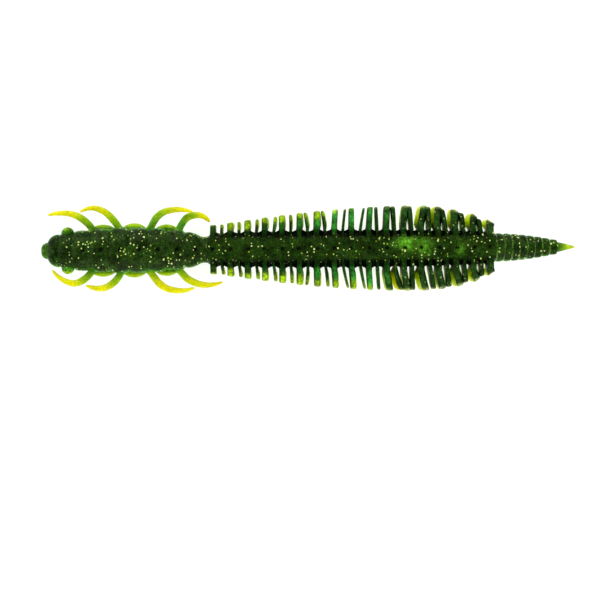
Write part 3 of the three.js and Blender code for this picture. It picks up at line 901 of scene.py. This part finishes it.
def tail_plug(radius):
    """Profile knots of a dome round the tail's first joint, which turns inside the abdomen's last ring."""
    pivot = joint_station("tail_bend_1")
    knots = []
    for depth in (1.2, 0.9, 0.6, 0.3, 0.08):
        half, top, bottom = (math.sqrt((share * radius) ** 2 - depth**2) for share in (1, 0.93, 0.95))
        knots.append((pivot - depth, half, top, bottom))
    return knots


def tail_ring_piece(ring):
    """One ring of the tail, two to a link. Each link's first ring bends with the link before.

    The very first is rigid, and turns on a dome inside the abdomen.
    """
    first = TAIL_START + (ring - 1) * TAIL_RING
    width = tail_width(first + 0.4 * TAIL_RING)
    shape = [(-0.03, 0.85), (0.0, 0.92), (0.06, 0.955), (0.2, 0.99), (0.45, 1.0), (0.75, 0.975)]
    shape += [(0.93, 0.935), (1.0, 0.88), (1.03, 0.8)]
    profile = []
    for share, size in shape:
        half = size * width
        profile.append((first + share * TAIL_RING, half, 0.93 * half, 0.95 * half))
    if ring == 1:
        profile = tail_plug(0.965 * width) + profile[3:]
    rows = turned_rows(profile, 34, 84, power=2.1)
    back, belly = tail_colours(rows)
    share = (rows[..., 0] - first) / TAIL_RING
    crease = np.clip(hump(share, 0, 0.07) + hump(share, 1, 0.09), 0, 1)
    aside = rise(np.abs(rows[..., 1]) / width, 0.2, 0.9)
    crease_colour = blend_colour(MOSS, PALE_EDGE, 0.1 + 0.5 * aside)
    back = blend_colour(back, crease_colour, (0.4 + 0.3 * aside) * crease)
    flakes = np.full(rows.shape[:2], 0.95)
    rows[..., 0] += TAIL_BULGE * (1 - (rows[..., 1] / width) ** 2)
    link = (ring + 1) // 2
    piece = skin(f"tail_ring_{ring}", rows, back, belly, flakes, BODY)
    if ring % 2 == 0:
        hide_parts(f"tail_link_{link}")
    if ring == 1 or ring % 2 == 0:
        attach(piece, f"tail_{link}")
        return
    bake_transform(piece)


def tail_tip_piece():
    """The plain pointed tip."""
    span = LENGTH - TAIL_POINT
    shape = [(-0.06, 0.6), (0.0, 0.9), (0.04, 0.96), (0.35, 0.74)]
    shape += [(0.65, 0.45), (0.86, 0.25), (1.0, 0.05)]
    profile = [(TAIL_POINT + share * span, size, 0.95 * size, 0.95 * size) for share, size in shape]
    rows = turned_rows(profile, 40, 48, power=2.0)
    back, belly = tail_colours(rows)
    flakes = 0.5 * (1 - rise(rows[..., 0], TAIL_POINT, TAIL_POINT + 1.2))
    piece = skin("tail_tip_skin", rows, back, belly, flakes, TIP)
    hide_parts("tail_tip")
    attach(piece, "tail_4")


for ring_number in range(1, 2 * TAIL_LINKS + 1):
    tail_ring_piece(ring_number)
tail_tip_piece()


# ---- Legs ----------------------------------------------------------------------------------------

# Each leg's centre line, from the root to the tip, as points of (station, distance out, height above the
# body's centre line).
LEG_LINES = {
    "leg_right_1": [(9.6, 3.4, 0), (9.2, 4.5, 0.1), (8.0, 5.7, 0.4), (6.6, 6.55, 0.5), (4.9, 7.0, 0.3),
                    (2.7, 7.0, 0), (1.2, 6.7, -0.1)],
    "leg_right_2": [(14.9, 3.6, 0), (14.3, 4.6, 0.1), (13.5, 5.7, 0.3), (12.1, 7.1, 0.5), (10.4, 7.85, 0.4),
                    (8.9, 7.9, 0.2), (7.2, 7.3, 0)],
    "leg_right_3": [(20.2, 3.6, 0), (20.75, 4.7, 0.2), (21.65, 6.1, 0.5), (23.1, 7.1, 0.8), (25.2, 7.5, 1.0),
                    (27.0, 7.4, 1.1), (28.5, 7.0, 1.1)],
    "leg_right_4": [(25.6, 3.4, 0), (26.2, 4.7, -0.1), (27.2, 6.0, -0.2), (28.6, 6.5, -0.3),
                    (30.0, 6.4, -0.3), (31.0, 5.8, -0.2), (31.5, 5.2, -0.1)],
    "leg_left_1": [(9.6, 3.4, 0), (9.0, 4.4, 0.1), (7.8, 5.5, 0.3), (6.3, 6.1, 0.4), (4.7, 5.8, 0.3),
                   (3.0, 4.8, 0), (1.9, 3.6, -0.2)],
    "leg_left_2": [(15.1, 3.6, 0), (14.5, 4.8, 0.1), (13.5, 6.0, 0.3), (12.1, 6.9, 0.4), (10.6, 7.1, 0.3),
                   (9.3, 6.9, 0.1), (8.2, 6.5, 0)],
    "leg_left_3": [(20.1, 3.6, 0), (20.8, 4.7, 0.1), (22.1, 6.3, 0.3), (23.6, 7.25, 0.4), (25.4, 7.6, 0.4),
                   (27.1, 7.55, 0.2), (28.6, 7.1, 0)],
    "leg_left_4": [(25.5, 3.4, 0), (26.3, 4.4, -0.1), (27.4, 5.5, -0.2), (29.1, 6.3, -0.2), (30.7, 6.6, -0.1),
                   (32.3, 6.5, 0), (33.9, 6.1, 0.1)],
}

# How much of each leg is green, from its root.
LEG_GREENS = {
    "leg_right_1": 0.3, "leg_right_2": 0.3, "leg_right_3": 0.4, "leg_right_4": 0.45,
    "leg_left_1": 0.25, "leg_left_2": 0.25, "leg_left_3": 0.05, "leg_left_4": 0.12,
}


LEG_TAPER = [(0, 0.85), (0.12, 0.66), (0.35, 0.7), (0.6, 0.6), (0.8, 0.44), (0.95, 0.27), (1, 0.2)]
LEG_HALF_THICK = 0.44


def leg_piece(name, line):
    """A tapering tendril, oval in section, which bends between the thorax and its own body at its root."""
    side = RIGHT if "right" in name else LEFT
    count, around = 60, 28
    path = spline([(x, side * y, z) for x, y, z in line], count)
    along = np.gradient(path, axis=0)
    along /= np.linalg.norm(along, axis=1)[:, None]
    share = np.linspace(0, 1, count)
    places, half_widths = zip(*LEG_TAPER)
    width = np.interp(share, places, half_widths)
    width *= np.sqrt(np.clip((1.01 - share) / 0.04, 0.02, 1))
    height = np.minimum(width, LEG_HALF_THICK)
    angle = np.linspace(0, 2 * math.pi, around, endpoint=False)
    rows = []
    for middle, direction, half, tall in zip(path, along, width, height):
        across = np.cross((0, 0, 1), direction)
        across /= np.linalg.norm(across)
        up = np.cross(direction, across)
        ring = np.outer(np.sin(angle) * half, across) + np.outer(np.cos(angle) * tall, up)
        rows.append(middle - ring)
    rows = np.array(rows)
    # The paint runs from green at the root to a yellow, faintly orange tip.
    out = np.broadcast_to(share[:, None], rows.shape[:2])
    green = LEG_GREENS[name]
    back = blend_colour(LIME, YELLOW_LEG, rise(out, green, green + 0.35))
    back = blend_colour(back, ORANGE_TIP, 0.5 * rise(out, 0.8, 0.95))
    back = blend_colour(MOSS * 0.8, back, rise(out, 0.5 * green - 0.1, green + 0.05))
    belly = blend_colour(CHARTREUSE, YELLOW_LEG, rise(out, 0.2, 0.7))
    piece = skin(f"{name}_skin", rows, back, belly, np.zeros(rows.shape[:2]), LEG)
    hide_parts(name)
    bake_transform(piece)


for leg_name, leg_line in LEG_LINES.items():
    leg_piece(leg_name, leg_line)


# ---- Floor, lights and camera --------------------------------------------------------------------


def floor():
    """A pale table, lit softly from within so that thin parts glow."""
    bpy.ops.mesh.primitive_plane_add(size=3, location=(0, 0, -0.00002))
    plane = bpy.context.object
    plane.name = "table"
    nodes = Nodes("table")
    nodes.shader.inputs["Base Color"].default_value = (0.3, 0.3, 0.32, 1)
    nodes.shader.inputs["Roughness"].default_value = 0.9
    nodes.shader.inputs["Emission Color"].default_value = (0.99, 0.99, 1, 1)
    nodes.shader.inputs["Emission Strength"].default_value = 0.84
    plane.data.materials.append(nodes.material)


def soft_light(name, location, size, power):
    """A rectangular light, aimed at the worm."""
    light = bpy.data.lights.new(name, "AREA")
    light.shape = "RECTANGLE"
    light.size, light.size_y = size
    light.energy = power
    lamp = bpy.data.objects.new(name, light)
    lamp.location = location
    lamp.rotation_euler = (-Vector(location)).to_track_quat("-Z", "Y").to_euler()
    bpy.context.scene.collection.objects.link(lamp)


def studio():
    """A dim ceiling over pale walls, and a soft light on each side."""
    world = bpy.data.worlds.new("studio")
    world.use_nodes = True
    tree = world.node_tree
    height = tree.nodes.new("ShaderNodeSeparateXYZ")
    strength = tree.nodes.new("ShaderNodeMapRange")
    strength.interpolation_type = "SMOOTHSTEP"
    for name, value in (("From Min", 0.1), ("From Max", 0.45), ("To Min", 1.0), ("To Max", 0.22)):
        strength.inputs[name].default_value = value
    tree.links.new(tree.nodes.new("ShaderNodeTexCoord").outputs["Generated"], height.inputs[0])
    tree.links.new(height.outputs[2], strength.inputs["Value"])
    tree.links.new(strength.outputs["Result"], tree.nodes["Background"].inputs["Strength"])
    tree.nodes["Background"].inputs["Color"].default_value = (0.98, 0.99, 1, 1)
    bpy.context.scene.world = world
    soft_light("key", (-0.08, 0.36, 0.3), (0.5, 0.25), 1.3)
    soft_light("fill", (0.05, -0.38, 0.28), (0.5, 0.25), 1.1)
    soft_light("head_side", (-0.42, 0.02, 0.25), (0.25, 0.3), 0.5)
    soft_light("tail_side", (0.42, -0.02, 0.25), (0.25, 0.3), 0.5)


def camera():
    """Straight down on the back, with the head to the left and the worm above the middle of the frame."""
    width = 114.35 * MM  # of the view at the worm's height
    data = bpy.data.cameras.new("camera")
    data.lens = 85
    away = width * data.lens / data.sensor_width
    view = bpy.data.objects.new("camera", data)
    view.location = (-0.73 * MM, -10.5 * MM, AXIS_Z + away)
    view.rotation_euler.z = math.radians(-0.45)
    bpy.context.scene.collection.objects.link(view)
    bpy.context.scene.camera = view


floor()
studio()
camera()
bpy.context.scene.view_settings.view_transform = "Standard"
